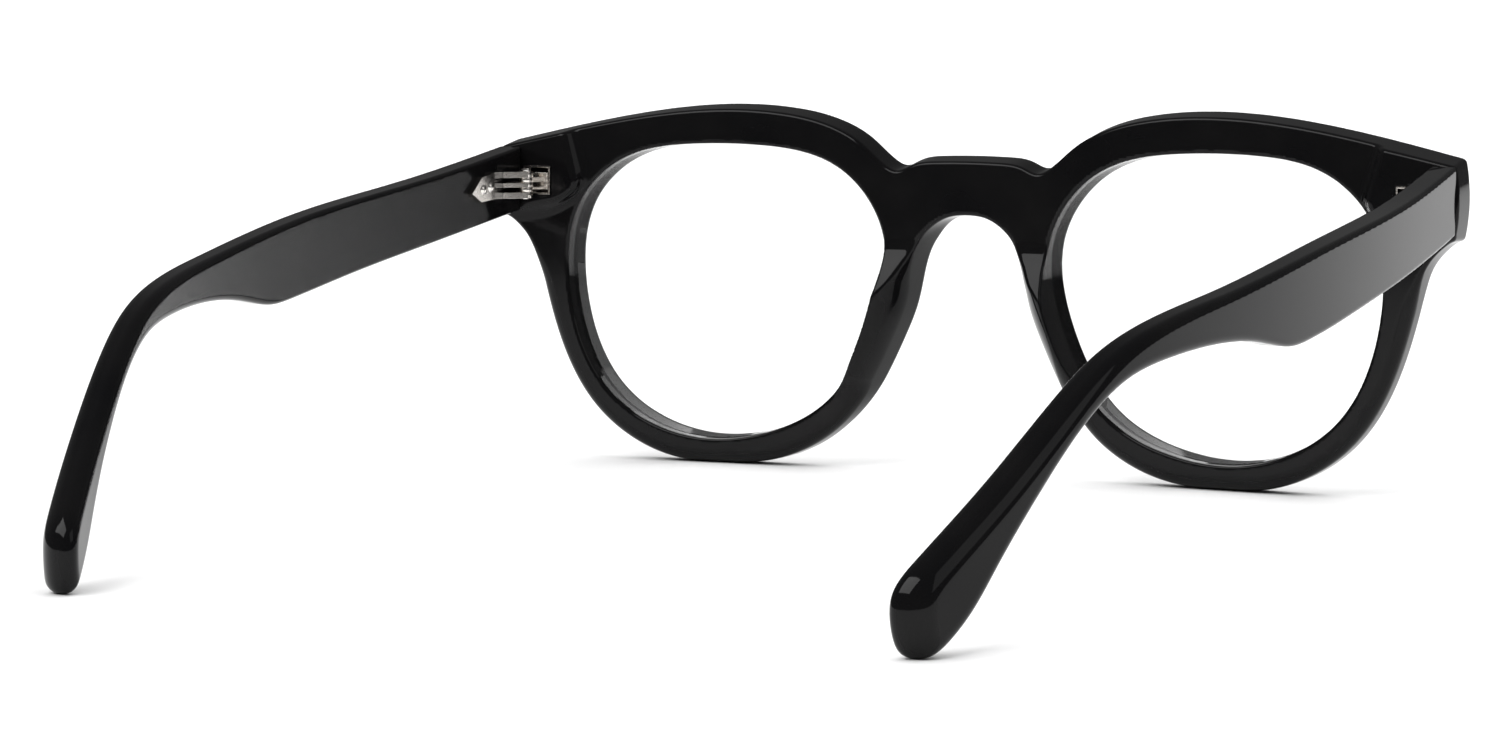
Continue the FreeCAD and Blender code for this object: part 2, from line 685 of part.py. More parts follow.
for item in doc.Objects:
    if "Invalid" in item.State or "Error" in item.State:
        raise RuntimeError(f"{item.Label} did not recompute: {item.State}")
for item in parts:
    if item.Shape.isNull() or not item.Shape.isValid():
        raise RuntimeError(f"{item.Label} has no valid shape")

os.makedirs("parts", exist_ok=True)
for item in parts:
    item.Shape.exportStep(f"parts/{item.Label}.step")
print("rest shift", dim("rest_y"), dim("rest_z"))
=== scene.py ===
"""Looks for the eyeglasses: polished acetate grown from distance fields, clear lenses and metal hinges.

The shapes are drawn in the frame of the eyeglass front, in millimetres: X across the face, Y backwards
towards the ears, Z up, zero at mid lens height in the middle of the bridge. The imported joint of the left
hinge says how that frame lies in the row frame, so every piece follows the CAD model.
"""

import json
import math

import bpy
import numpy as np
from mathutils import Matrix, Vector
from mathutils.kdtree import KDTree


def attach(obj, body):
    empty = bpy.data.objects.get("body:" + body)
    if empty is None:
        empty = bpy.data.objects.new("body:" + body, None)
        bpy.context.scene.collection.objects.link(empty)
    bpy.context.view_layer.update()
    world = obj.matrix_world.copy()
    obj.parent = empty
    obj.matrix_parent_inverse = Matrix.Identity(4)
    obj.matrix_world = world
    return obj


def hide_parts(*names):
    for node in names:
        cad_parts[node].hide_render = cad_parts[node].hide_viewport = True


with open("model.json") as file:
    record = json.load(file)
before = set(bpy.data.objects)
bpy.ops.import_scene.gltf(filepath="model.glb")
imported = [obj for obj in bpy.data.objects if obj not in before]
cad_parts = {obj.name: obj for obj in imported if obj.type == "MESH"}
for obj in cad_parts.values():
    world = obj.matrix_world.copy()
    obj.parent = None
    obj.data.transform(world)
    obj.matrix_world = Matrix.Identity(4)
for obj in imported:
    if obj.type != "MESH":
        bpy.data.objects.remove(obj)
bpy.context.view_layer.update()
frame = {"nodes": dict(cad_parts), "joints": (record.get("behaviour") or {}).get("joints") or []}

# ---------------------------------------------------------------------------------------------------------
# Sizes in millimetres and degrees, the same as the CAD model's apart from the curve of the outer corner
# ---------------------------------------------------------------------------------------------------------
MM = 0.001
HINGE = (67.2, 8.7, 14.5)
LENS_CENTRE_X = 37.5
WRAP_RADIUS = 730.0
FRONT_THICKNESS = 4.8
BLOCK_BACK = 6.5
PAD_HEIGHT = 6.6
TEMPLE_START = 6.65
LENS_TILT = 2.94
LENS_THICKNESS = 1.9
LENS_TUCK = 0.45
BEZEL_LOW = (64.3, 13.1)
BEZEL_HIGH = (68.7, 17.2)
BEZEL_DEPTH = 1.2
# The sign of x and the name of the wearer's two sides
SIDES = ((1, "left"), (-1, "right"))

# Lens edge: (angle from the temple side in degrees, distance from the lens centre)
LENS_SHAPE = (
    (0, 24.3), (30, 25.8), (50, 24.4), (75, 21.5), (105, 21.5), (135, 25.1),
    (160, 26.1), (190, 23.4), (225, 22.0), (255, 21.0), (285, 21.6), (320, 23.3),
)
# Front outline, +X half, (x, z), from the middle of the bridge over the top and round to the nose arch
TOP_EDGE = (
    (0, 20.0), (5, 19.9), (8.6, 19.3), (10.8, 18.5), (12.8, 19.4), (16.2, 22.2), (21, 24.7),
    (28, 26.3), (36, 26.8), (45, 26.3), (54, 25.0), (63, 23.2), (71.92, 21.17),
)
CORNER_SIDE = ((71.92, 21.17), (72.5, 20.8), (72.7, 20.2), (72.7, 10.9), (72.5, 10.3), (72.04, 9.96))
# Directions of the outline where the outer corner starts at the top and ends below
TOP_RUN = (0.974, -0.225)
LOW_RUN = (0.94, 0.34)
OUTER_EDGE = (
    (42, -25.0), (47.1, -24.3), (53.0, -21.8), (58.2, -17.6), (61.9, -12.3), (64.5, -6.2), (66.3, -0.1),
    (67.2, 3.4), (68.4, 6.6), (70.3, 8.8), (72.04, 9.96),
)
NOSE_EDGE = (
    (0, 11.5), (2.9, 11.1), (5.3, 9.5), (7.3, 6.5), (8.3, 3), (9.2, -1), (11.2, -6), (14.2, -12),
    (17.8, -17.2), (23, -21.5), (29.5, -24.2), (36, -25.0),
)
# Sides of the raised hinge block, (x, z) from and to, with the block on the right of each
BLOCK_SIDES = (((59.7, 14.4), (62.6, 24.5)), ((61.3, 12.2), (59.7, 14.4)), ((73.5, 10.3), (61.3, 12.2)))
# Temple seen from above, (y, x of the outer face, thickness), and its side view, (y, z)
TEMPLE_BOW = (
    (6.65, 72.7, 3.8), (30, 74.1, 3.8), (50, 74.6, 3.8), (70, 74.0, 3.8),
    (90, 72.0, 3.9), (110, 68.3, 4.3), (130, 62.6, 4.9), (146, 56.3, 5.2),
)
TEMPLE_SIDE = (
    (6.65, 20.0), (30, 16.0), (60, 12.0), (88, 7.3), (102, 4.7), (111, 1.6), (119, -3.5), (129, -11.5),
    (139, -19.4), (142.3, -23.0), (142.6, -26.6), (140.8, -30.3), (137.3, -28.7), (131, -21.4), (124, -13.0),
    (117, -6.3), (110, -2.0), (101, 0.3), (90, 1.4), (81, 1.2), (75.5, 0.5), (71.5, 0.1), (66, 0.6),
    (50, 3.3), (30, 6.6), (6.65, 10.7),
)

# ---------------------------------------------------------------------------------------------------------
# What the visual model draws in its own way, in millimetres, and the grids that it is grown on
# ---------------------------------------------------------------------------------------------------------
# The outer wall leans in towards the back over the top and inside the nose, and the lens sill leans down
TOP_SLANT = 0.2
SILL_SLANT = 0.1
NOSE_SLANT = 0.2
SLANT_BLEND = 0.3
# Where the nose slant goes from none to full: inwards in x, upwards from below and downwards from above in z
NOSE_SLANT_X = (28, 22)
NOSE_SLANT_LOW = (-20, -12)
NOSE_SLANT_HIGH = (12, 8)
# Radii of the front's edges: its front face, the lens openings at the back, and the back of the outline
# above the pads and from mid lens height down
FACE_EDGE = 0.8
OPENING_EDGE = 0.4
UPPER_EDGE = 0.5
LOWER_EDGE = 1.9
# Radii of the hinge blocks' inner corner, underside and rim, and the width of their blend with the front
BLOCK_CORNER = 1.5
BLOCK_UNDERSIDE = 2.5
BLOCK_RIM = 1.0
BLOCK_BLEND = 2.0
# Nose pads: ridge in the side view, (y, z), the same as the CAD model's, the climb down from their top, and
# the rise from the nose edge with the lift that it reaches over a run below their top
PAD_RIDGE = ((2.4, 7.6), (PAD_HEIGHT, -1.5), (2.4, -13.8))
PAD_TOP = 6.8
PAD_CLIMB = 0.55
PAD_RISE = 1.0
PAD_LIFT = 1.3
PAD_LIFT_RUN = 5
PAD_REACH = 22.0
PAD_CREASE = 0.35
PAD_CREST = 1.0
PAD_BLEND = 1.1
# How far the rims of the lenses are eased
LENS_EASE = 0.15
# Rounding of the temple edges along its length, (y, radius)
TEMPLE_EDGE = ((TEMPLE_START, 0.5), (40, 0.6), (80, 0.9), (115, 1.6), (146, 2.3))
# Painted shade in the hinge trays: depths below the hinge block's face where the tray's metal is painted
# darkest and where it keeps its full colour, the share of its colour left where the painted shade is darkest,
# and the (x, z) near the tray's middle that the depths are taken at
PAINTED_SHADE_DEPTHS = (0.35, 0.05)
PAINTED_SHADE_DARKEST = 0.04
TRAY_MIDDLE = (66.5, 15.1)
# Opposite corners of the boxes that the outline fields, (x, z) or (y, z), and the meshes are grown in
OUTLINE_BOX = ((-1, -30), (78, 32))
OPENING_BOX = ((5, -30), (78, 32))
SIDE_BOX = ((2, -34), (148, 25))
FRONT_BOX = ((-74.2, -4.2, -26.6), (74.2, 8.2, 28.4))
TEMPLE_BOX = ((50, 5.5, -32.5), (76, 144, 21.5))
FINE = 0.3

# ---------------------------------------------------------------------------------------------------------
# The eyeglass front's frame in the row frame
# ---------------------------------------------------------------------------------------------------------
left_joint = next(j for j in frame["joints"] if j["axis"][2] > 0)
AXIS = Vector(left_joint["axis"])
TILT = Matrix.Rotation(math.atan2(-AXIS.y, AXIS.z), 3, "X")
SHIFT = Vector(left_joint["pos_m"]) / MM - TILT @ Vector(HINGE)


def to_row(points):
    """Front-frame points in millimetres, as row-frame points in metres."""
    turn = np.array(TILT)
    return (points @ turn.T + np.array(SHIFT)) * MM


# ---------------------------------------------------------------------------------------------------------
# Smooth outlines and their distance fields
# ---------------------------------------------------------------------------------------------------------
def spline(points, closed=False, start=None, end=None, step=0.05):
    """Points close together on the cubic through the given points, by chord length like the CAD curves."""
    p = np.array(points, float)
    if closed:
        p = np.vstack([p, p[:1]])
    h = np.linalg.norm(np.diff(p, axis=0), axis=1)
    n = len(p)
    a = np.zeros((n, n))
    b = np.zeros((n, 2))
    slope = np.diff(p, axis=0) / h[:, None]
    for i in range(1, n - 1):
        a[i, i - 1], a[i, i], a[i, i + 1] = h[i], 2 * (h[i - 1] + h[i]), h[i - 1]
        b[i] = 3 * (h[i] * slope[i - 1] + h[i - 1] * slope[i])
    if closed:
        a[0, 0], a[0, 1], a[0, n - 2] = 2 * (h[-1] + h[0]), h[-1], h[0]
        b[0] = 3 * (h[0] * slope[-1] + h[-1] * slope[0])
        a[-1, -1], a[-1, 0] = 1, -1
    else:
        for row, tangent, near, chord in ((0, start, 1, 0), (-1, end, -2, -1)):
            if tangent is not None:
                a[row, row] = 1
                b[row] = np.array(tangent) / np.linalg.norm(tangent)
            else:
                a[row, row], a[row, near] = 2, 1
                b[row] = 3 * slope[chord]
    m = np.linalg.solve(a, b)
    out = []
    for i in range(n - 1):
        t = np.arange(0, 1, 1 / max(2, math.ceil(h[i] / step)))[:, None]
        out.append((2 * t**3 - 3 * t**2 + 1) * p[i] + (t**3 - 2 * t**2 + t) * h[i] * m[i]
                   + (3 * t**2 - 2 * t**3) * p[i + 1] + (t**3 - t**2) * h[i] * m[i + 1])
    if not closed:
        out.append(p[-1:])
    return np.vstack(out)


class Field:
    """A smooth signed distance to a closed outline of close points, held on a grid. Negative inside."""

    def __init__(self, outline, low, high, step=0.25):
        self.low, self.step = np.array(low, float), step
        self.count = np.ceil((np.array(high) - self.low) / step).astype(int) + 1
        us, vs = (self.low[i] + step * np.arange(self.count[i]) for i in (0, 1))
        grid = np.stack(np.meshgrid(us, vs, indexing="ij"), -1).reshape(-1, 2)
        tree = KDTree(len(outline))
        for i, (u, v) in enumerate(outline):
            tree.insert((u, v, 0), i)
        tree.balance()
        near = np.array([tree.find((u, v, 0))[1] for u, v in grid])
        before, here, after = (outline[(near + k) % len(outline)] for k in (-1, 0, 1))
        offsets = []
        for start, end in ((before, here), (here, after)):
            run = end - start
            t = np.clip(((grid - start) * run).sum(1) / np.maximum((run * run).sum(1), 1e-12), 0, 1)
            offsets.append(grid - start - t[:, None] * run)
        gaps = np.linalg.norm(offsets, axis=2)
        offset = np.where((gaps[0] < gaps[1])[:, None], offsets[0], offsets[1])
        way = after - before
        left = np.sign(way[:, 0] * offset[:, 1] - way[:, 1] * offset[:, 0])
        nxt = np.roll(outline, -1, axis=0)
        anticlockwise = np.sign((outline[:, 0] * nxt[:, 1] - nxt[:, 0] * outline[:, 1]).sum())
        self.values = (-gaps.min(0) * left * anticlockwise).reshape(self.count)

    def __call__(self, u, v):
        """The distance at each (u, v), by cubic interpolation so that its slope is smooth too."""
        place = [(np.clip(c, self.low[i], self.low[i] + self.step * (self.count[i] - 1.001)) - self.low[i])
                 / self.step for i, c in enumerate((u, v))]
        whole = [np.floor(c).astype(int) for c in place]
        weights = []
        for c, w in zip(place, whole):
            t = c - w
            weights.append(((-t + 2 * t**2 - t**3) / 2, (2 - 5 * t**2 + 3 * t**3) / 2,
                            (t + 4 * t**2 - 3 * t**3) / 2, (t**3 - t**2) / 2))
        total = 0
        for i in range(4):
            ui = np.clip(whole[0] + i - 1, 0, self.count[0] - 1)
            for j in range(4):
                vj = np.clip(whole[1] + j - 1, 0, self.count[1] - 1)
                total = total + weights[0][i] * weights[1][j] * self.values[ui, vj]
        return total


def round_both(a, b, radius):
    """What is inside both a and b, with the edge between them rounded to radius."""
    u, v = np.maximum(a + radius, 0), np.maximum(b + radius, 0)
    return np.minimum(np.maximum(a + radius, b + radius), 0) + np.sqrt(u * u + v * v) - radius


def blend_either(a, b, width):
    """What is inside a or b, with the corner between them filled to about width."""
    share = np.clip(0.5 + 0.5 * (b - a) / width, 0, 1)
    return b + (a - b) * share - width * share * (1 - share)


# ---------------------------------------------------------------------------------------------------------
# Meshes grown from a distance field
# ---------------------------------------------------------------------------------------------------------
def surface_net(solid, low, high, step):
    """Vertices and quads of the surface where solid(x, y, z) is zero, a vertex in each cell it crosses."""
    low = np.array(low, float)
    count = np.ceil((np.array(high) - low) / step).astype(int) + 1
    axes = [low[i] + step * np.arange(count[i]) for i in range(3)]
    f = np.empty(count, np.float32)
    for i, x in enumerate(axes[0]):
        y, z = np.meshgrid(axes[1], axes[2], indexing="ij")
        f[i] = solid(np.full(y.shape, x), y, z)
    neg = f < 0
    total = np.zeros((*(count - 1), 3), np.float32)
    hits = np.zeros(count - 1, np.int32)
    for axis in range(3):
        others = [i for i in range(3) if i != axis]
        span = [slice(None)] * 3
        span[axis] = slice(0, -1)
        nxt = list(span)
        nxt[axis] = slice(1, None)
        a, b = f[tuple(span)], f[tuple(nxt)]
        cross = neg[tuple(span)] != neg[tuple(nxt)]
        t = np.where(cross, a / np.where(cross, a - b, 1), 0)
        for du in (0, 1):
            for dv in (0, 1):
                take = [slice(None)] * 3
                for other, d in zip(others, (du, dv)):
                    take[other] = slice(d, count[other] - 1 + d)
                c = cross[tuple(take)]
                hits += c
                total[..., axis] += np.where(c, t[tuple(take)], 0)
                total[..., others[0]] += c * du
                total[..., others[1]] += c * dv
    used = hits > 0
    number = np.full(hits.shape, -1)
    number[used] = np.arange(used.sum())
    cells = np.argwhere(used)
    vertices = low + step * (cells + total[used] / hits[used][:, None])
    quads = []
    for axis in range(3):
        u, v = [i for i in range(3) if i != axis]
        if axis == 1:
            u, v = v, u
        span = [slice(1, -1)] * 3
        span[axis] = slice(0, -1)
        nxt = list(span)
        nxt[axis] = slice(1, None)
        a, b = neg[tuple(span)], neg[tuple(nxt)]
        place = np.argwhere(a != b)
        place[:, [u, v]] += 1
        out = a[a != b]
        ring = []
        for du, dv in ((-1, -1), (0, -1), (0, 0), (-1, 0)):
            cell = place.copy()
            cell[:, u] += du
            cell[:, v] += dv
            ring.append(number[tuple(cell.T)])
        ring = np.stack(ring, 1)
        ring[~out] = ring[~out][:, ::-1]
        quads.append(ring)
    return vertices, np.vstack(quads)


def normal_and_gap(solid, points, reach=0.02, flattest=0.3):
    """The field's outward normal at each point, and the distance to its surface judged from its slope."""
    g = np.empty_like(points)
    for axis in range(3):
        ahead, behind = points.copy(), points.copy()
        ahead[:, axis] += reach
        behind[:, axis] -= reach
        g[:, axis] = (solid(*ahead.T) - solid(*behind.T)) / (2 * reach)
    size = np.linalg.norm(g, axis=1, keepdims=True)
    return g / np.maximum(size, 1e-6), solid(*points.T) / np.maximum(size[:, 0], flattest)


def settle(solid, vertices, quads, rounds=6, longest=0.3):
    """Evens out the vertices along the surface and draws each onto it. Returns their normals too."""
    ends = np.vstack([quads[:, [0, 1]], quads[:, [1, 2]], quads[:, [2, 3]], quads[:, [3, 0]]])
    for turn in range(rounds):
        normal, gap = normal_and_gap(solid, vertices)
        if turn < rounds - 2:
            middle = np.zeros_like(vertices)
            ties = np.zeros(len(vertices))
            for a, b in ((0, 1), (1, 0)):
                np.add.at(middle, ends[:, a], vertices[ends[:, b]])
                np.add.at(ties, ends[:, a], 1)
            pull = middle / ties[:, None] - vertices
            pull -= (pull * normal).sum(1, keepdims=True) * normal
            vertices = vertices + 0.5 * pull
        vertices = vertices - normal * np.clip(gap, -longest, longest)[:, None]
    return vertices, normal_and_gap(solid, vertices)[0]


def piece(name, vertices, faces, normals=None, material=None):
    """A smooth mesh object in the row frame, from front-frame millimetres."""
    mesh = bpy.data.meshes.new(name)
    mesh.from_pydata(to_row(vertices).tolist(), [], faces.tolist() if hasattr(faces, "tolist") else faces)
    mesh.shade_smooth()
    mesh.validate()
    if normals is not None:
        mesh.normals_split_custom_set_from_vertices((normals @ np.array(TILT).T).tolist())
    mesh.materials.append(material)
    made = bpy.data.objects.new(name, mesh)
    bpy.context.scene.collection.objects.link(made)
    return made


# ---------------------------------------------------------------------------------------------------------
# Materials
# ---------------------------------------------------------------------------------------------------------
# Blender's noise can go from 0 to 1 but stays mostly between these two
NOISE_LOW, NOISE_HIGH = 0.3, 0.7


def new_material(name):
    """A new material, its node tree, its Principled shader and the socket of the object's coordinates."""
    material = bpy.data.materials.new(name)
    material.use_nodes = True
    tree = material.node_tree
    tree.nodes.clear()
    output = tree.nodes.new("ShaderNodeOutputMaterial")
    shader = tree.nodes.new("ShaderNodeBsdfPrincipled")
    tree.links.new(shader.outputs[0], output.inputs["Surface"])
    place = tree.nodes.new("ShaderNodeTexCoord").outputs["Object"]
    return material, tree, shader, place


def noise(tree, place, scale, detail=2.0, stretch=None):
    """Noise of the given scale per metre, with each axis scaled by stretch when given."""
    if stretch:
        mapping = tree.nodes.new("ShaderNodeMapping")
        mapping.inputs["Scale"].default_value = stretch
        tree.links.new(place, mapping.inputs["Vector"])
        place = mapping.outputs["Vector"]
    node = tree.nodes.new("ShaderNodeTexNoise")
    node.inputs["Scale"].default_value = scale
    node.inputs["Detail"].default_value = detail
    tree.links.new(place, node.inputs["Vector"])
    return node.outputs["Fac"]


def ramp(tree, value, low, high, target):
    """Spreads noise between two numbers or two colours and links it to the target socket."""
    if isinstance(low, float):
        node = tree.nodes.new("ShaderNodeMapRange")
        numbers = {"From Min": NOISE_LOW, "From Max": NOISE_HIGH, "To Min": low, "To Max": high}
        for socket, number in numbers.items():
            node.inputs[socket].default_value = number
    else:
        node = tree.nodes.new("ShaderNodeValToRGB")
        for stop, position, colour in zip(node.color_ramp.elements, (NOISE_LOW, NOISE_HIGH), (low, high)):
            stop.position = position
            stop.color = (*colour, 1)
    tree.links.new(value, node.inputs[0])
    tree.links.new(node.outputs[0], target)


def bump(tree, value, shader, height, strength=1.0):
    """Shades the surface as if it rose by height metres where value is 1."""
    node = tree.nodes.new("ShaderNodeBump")
    node.inputs["Distance"].default_value = height
    node.inputs["Strength"].default_value = strength
    tree.links.new(value, node.inputs["Height"])
    tree.links.new(node.outputs[0], shader.inputs["Normal"])


def acetate():
    """Black acetate, hand polished: deep gloss with faint buffing haze and a very slight waviness."""
    material, tree, shader, place = new_material("acetate_black")
    shader.inputs["IOR"].default_value = 1.48
    shader.inputs["Specular IOR Level"].default_value = 0.17
    ramp(tree, noise(tree, place, 90.0), (0.0035, 0.0035, 0.0040), (0.0060, 0.0058, 0.0060),
         shader.inputs["Base Color"])
    ramp(tree, noise(tree, place, 260.0, 4.0), 0.035, 0.085, shader.inputs["Roughness"])
    bump(tree, noise(tree, place, 120.0, 1.0), shader, 0.00002, 0.35)
    return material


def metal(name, dark, light, smooth, rough, grain, painted_shade_y=None):
    """Warm silver metal with fine tumbling marks. Given the y where it is darkest and the y where it is
    light, its colour is darkened with depth between them: painted shade in the hinge tray.
    """
    material, tree, shader, place = new_material(name)
    shader.inputs["Metallic"].default_value = 1.0
    ramp(tree, noise(tree, place, 500.0, 3.0), dark, light, shader.inputs["Base Color"])
    if painted_shade_y is not None:
        # Painted shade: the metal's colour is scaled down with depth into the tray, to its darkest share deep
        # below the block's face
        split = tree.nodes.new("ShaderNodeSeparateXYZ")
        tree.links.new(place, split.inputs[0])
        depth = tree.nodes.new("ShaderNodeMapRange")
        depth.inputs["From Min"].default_value, depth.inputs["From Max"].default_value = painted_shade_y
        depth.inputs["To Min"].default_value = PAINTED_SHADE_DARKEST
        tree.links.new(split.outputs["Y"], depth.inputs[0])
        painted_shade_colour = tree.nodes.new("ShaderNodeVectorMath")
        painted_shade_colour.operation = "SCALE"
        tree.links.new(shader.inputs["Base Color"].links[0].from_socket, painted_shade_colour.inputs[0])
        tree.links.new(depth.outputs[0], painted_shade_colour.inputs["Scale"])
        tree.links.new(painted_shade_colour.outputs[0], shader.inputs["Base Color"])
    ramp(tree, noise(tree, place, 900.0, 3.0, (1, 1, 4)), smooth, rough, shader.inputs["Roughness"])
    bump(tree, noise(tree, place, 1500.0, 2.0), shader, grain, 0.3)
    return material


def clear_lens():
    """A clear lens: what is behind shows through, with a Fresnel reflection over it."""
    material, tree, shader, place = new_material("lens_clear")
    shader.inputs["Base Color"].default_value = (1, 1, 1, 1)
    shader.inputs["Transmission Weight"].default_value = 1.0
    shader.inputs["IOR"].default_value = 1.498
    ramp(tree, noise(tree, place, 60.0), 0.0, 0.012, shader.inputs["Roughness"])
    return material


ACETATE = acetate()
LENS = clear_lens()
HINGE_METAL = metal("hinge_metal", (0.78, 0.74, 0.69), (0.88, 0.84, 0.79), 0.14, 0.20, 0.000004)
SCREW_METAL = metal("screw_metal", (0.76, 0.73, 0.70), (0.86, 0.83, 0.80), 0.12, 0.18, 0.000003)
RIVET_METAL = metal("rivet_metal", (0.80, 0.77, 0.73), (0.90, 0.87, 0.83), 0.08, 0.13, 0.000002)
# The hinge trays' metal is darkened with depth as painted shade. The trays' own coordinates are the row
# frame's, so the same two y values serve both sides
tray_x, tray_z = TRAY_MIDDLE
tray_painted_darkening_y = to_row(np.array([(tray_x, BLOCK_BACK - depth, tray_z) for depth in PAINTED_SHADE_DEPTHS]))[:, 1]
TRAY_METAL_PAINTED_SHADE = metal("tray_metal_painted_shade", (0.62, 0.58, 0.54), (0.74, 0.69, 0.64), 0.12, 0.20, 0.000003, tray_painted_darkening_y)

# ---------------------------------------------------------------------------------------------------------
# The front with its nose pads
# ---------------------------------------------------------------------------------------------------------
half_outline = np.vstack([
    spline(TOP_EDGE, start=(1, 0), end=TOP_RUN)[:-1],
    spline(CORNER_SIDE, start=TOP_RUN, end=np.negative(LOW_RUN))[:-1],
    spline(OUTER_EDGE, start=(1, 0), end=LOW_RUN)[::-1][:-1],
    spline((OUTER_EDGE[0], NOSE_EDGE[-1]))[:-1],
    spline(NOSE_EDGE, start=(1, 0), end=(1, 0))[::-1],
])
OUTLINE = Field(np.vstack([half_outline, (half_outline * (-1, 1))[-2:0:-1]]), *OUTLINE_BOX)
lens_turns = [(math.radians(angle), radius) for angle, radius in LENS_SHAPE]
lens_points = [(LENS_CENTRE_X + r * math.cos(turn), r * math.sin(turn)) for turn, r in lens_turns]
OPENING = Field(spline(lens_points, closed=True), *OPENING_BOX)


def circle_through(a, b, c):
    """Centre and radius of the circle through three plane points."""
    m = 2 * np.array([np.subtract(b, a), np.subtract(c, a)], float)
    rhs = np.array([np.dot(b, b) - np.dot(a, a), np.dot(c, c) - np.dot(a, a)], float)
    centre = np.linalg.solve(m, rhs)
    return centre, float(np.linalg.norm(centre - np.array(a)))


RIDGE_CENTRE, RIDGE_RADIUS = circle_through(*PAD_RIDGE)


def plane(x, z, a, b):
    """Signed distance to the line from a to b, negative on its right hand side."""
    d = np.subtract(b, a) / math.dist(a, b)
    return (z - a[1]) * d[0] - (x - a[0]) * d[1]


def fade(value, none, full):
    """0 at none and beyond it, 1 at full and beyond it, and smooth between, whichever is the larger."""
    t = np.clip((value - none) / (full - none), 0, 1)
    return t * t * (3 - 2 * t)


def nose_pad(flat, outline, y, z):
    """Distance to the raised pads: a facet climbing from the top and a face rising from the nose edge."""
    ridge = np.hypot(y - RIDGE_CENTRE[0], z - RIDGE_CENTRE[1]) - RIDGE_RADIUS
    facet = (flat - PAD_CLIMB * (PAD_TOP - z)) / math.hypot(1, PAD_CLIMB)
    rise = PAD_LIFT * fade(PAD_TOP - z, 0, PAD_LIFT_RUN)
    inner = (flat + PAD_RISE * outline - rise) / math.hypot(1, PAD_RISE)
    return round_both(round_both(facet, inner, PAD_CREASE), ridge, PAD_CREST)


def front_solid(x, y, z):
    """Distance to the acetate front with its hinge blocks and nose pads."""
    x = np.abs(x)
    wrap = x * x / (2 * WRAP_RADIUS)
    flat = y - wrap - FRONT_THICKNESS / 2
    face = wrap - FRONT_THICKNESS / 2 - y
    outline = -blend_either(-OUTLINE(x, z), -OUTLINE(x, z - TOP_SLANT * face), SLANT_BLEND)
    by_nose = fade(x, *NOSE_SLANT_X) * fade(z, *NOSE_SLANT_LOW) * fade(z, *NOSE_SLANT_HIGH)
    outline = outline - NOSE_SLANT * by_nose * (face + FRONT_THICKNESS / 2)
    opening = blend_either(OPENING(x, z), OPENING(x, z - SILL_SLANT * face), SLANT_BLEND)
    inner_side, inner_corner, underside = (plane(x, z, a, b) for a, b in BLOCK_SIDES)
    block = round_both(round_both(inner_side, inner_corner, BLOCK_CORNER), underside, BLOCK_UNDERSIDE)
    back = blend_either(flat, round_both(block, y - BLOCK_BACK, BLOCK_RIM), BLOCK_BLEND)
    pad = np.maximum(nose_pad(flat, outline, y, z), x - PAD_REACH)
    back = blend_either(back, pad, PAD_BLEND)
    edge = UPPER_EDGE + (LOWER_EDGE - UPPER_EDGE) * fade(z, PAD_TOP, 0)
    slab = round_both(np.maximum(outline, -opening), face, FACE_EDGE)
    slab = np.maximum(slab, round_both(outline, back, edge))
    return np.maximum(slab, round_both(-opening, back, OPENING_EDGE))


def bezel_seat(x, z):
    """Distance to the rectangle of the hinge tray."""
    x = np.abs(x)
    dx = np.maximum(BEZEL_LOW[0] - x, x - BEZEL_HIGH[0])
    dz = np.maximum(BEZEL_LOW[1] - z, z - BEZEL_HIGH[1])
    return np.maximum(dx, dz)


def seated_front(x, y, z):
    """The front with the seats for the hinge trays sunk into its blocks."""
    seat = np.maximum(bezel_seat(x, z), BLOCK_BACK - BEZEL_DEPTH - y)
    return np.maximum(front_solid(x, y, z), -seat)


net, quads = surface_net(seated_front, *FRONT_BOX, FINE)
net, normals = settle(seated_front, net, quads)
front = piece("front_acetate", net, quads, normals, ACETATE)
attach(front, "front")
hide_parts("front_frame", "nose_pad_left", "nose_pad_right")

# ---------------------------------------------------------------------------------------------------------
# The temples
# ---------------------------------------------------------------------------------------------------------
butt = spline((TEMPLE_SIDE[-1], TEMPLE_SIDE[0]))
SIDE = Field(np.vstack([spline(TEMPLE_SIDE)[:-1], butt[:-1]]), *SIDE_BOX)
outer_line = spline([(y, x) for y, x, thickness in TEMPLE_BOW])
inner_line = spline([(y, x - thickness) for y, x, thickness in TEMPLE_BOW])
edge_line = spline(TEMPLE_EDGE)


def temple_solid(x, y, z):
    """Distance to the left temple."""
    lean = np.interp(y, outer_line[:, 0], np.gradient(outer_line[:, 1], outer_line[:, 0]))
    outer = x - np.interp(y, outer_line[:, 0], outer_line[:, 1])
    inner = np.interp(y, inner_line[:, 0], inner_line[:, 1]) - x
    faces = np.maximum(outer, inner) / np.sqrt(1 + lean * lean)
    return round_both(SIDE(y, z), faces, np.interp(y, edge_line[:, 0], edge_line[:, 1]))


net, quads = surface_net(temple_solid, *TEMPLE_BOX, FINE)
net, normals = settle(temple_solid, net, quads)
for side, name in SIDES:
    flip = np.array([side, 1, 1])
    temple = piece(f"temple_acetate_{name}", net * flip, quads[:, ::side], normals * flip, ACETATE)
    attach(temple, f"temple_{name}")
    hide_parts(f"temple_{name}", f"core_wire_{name}")

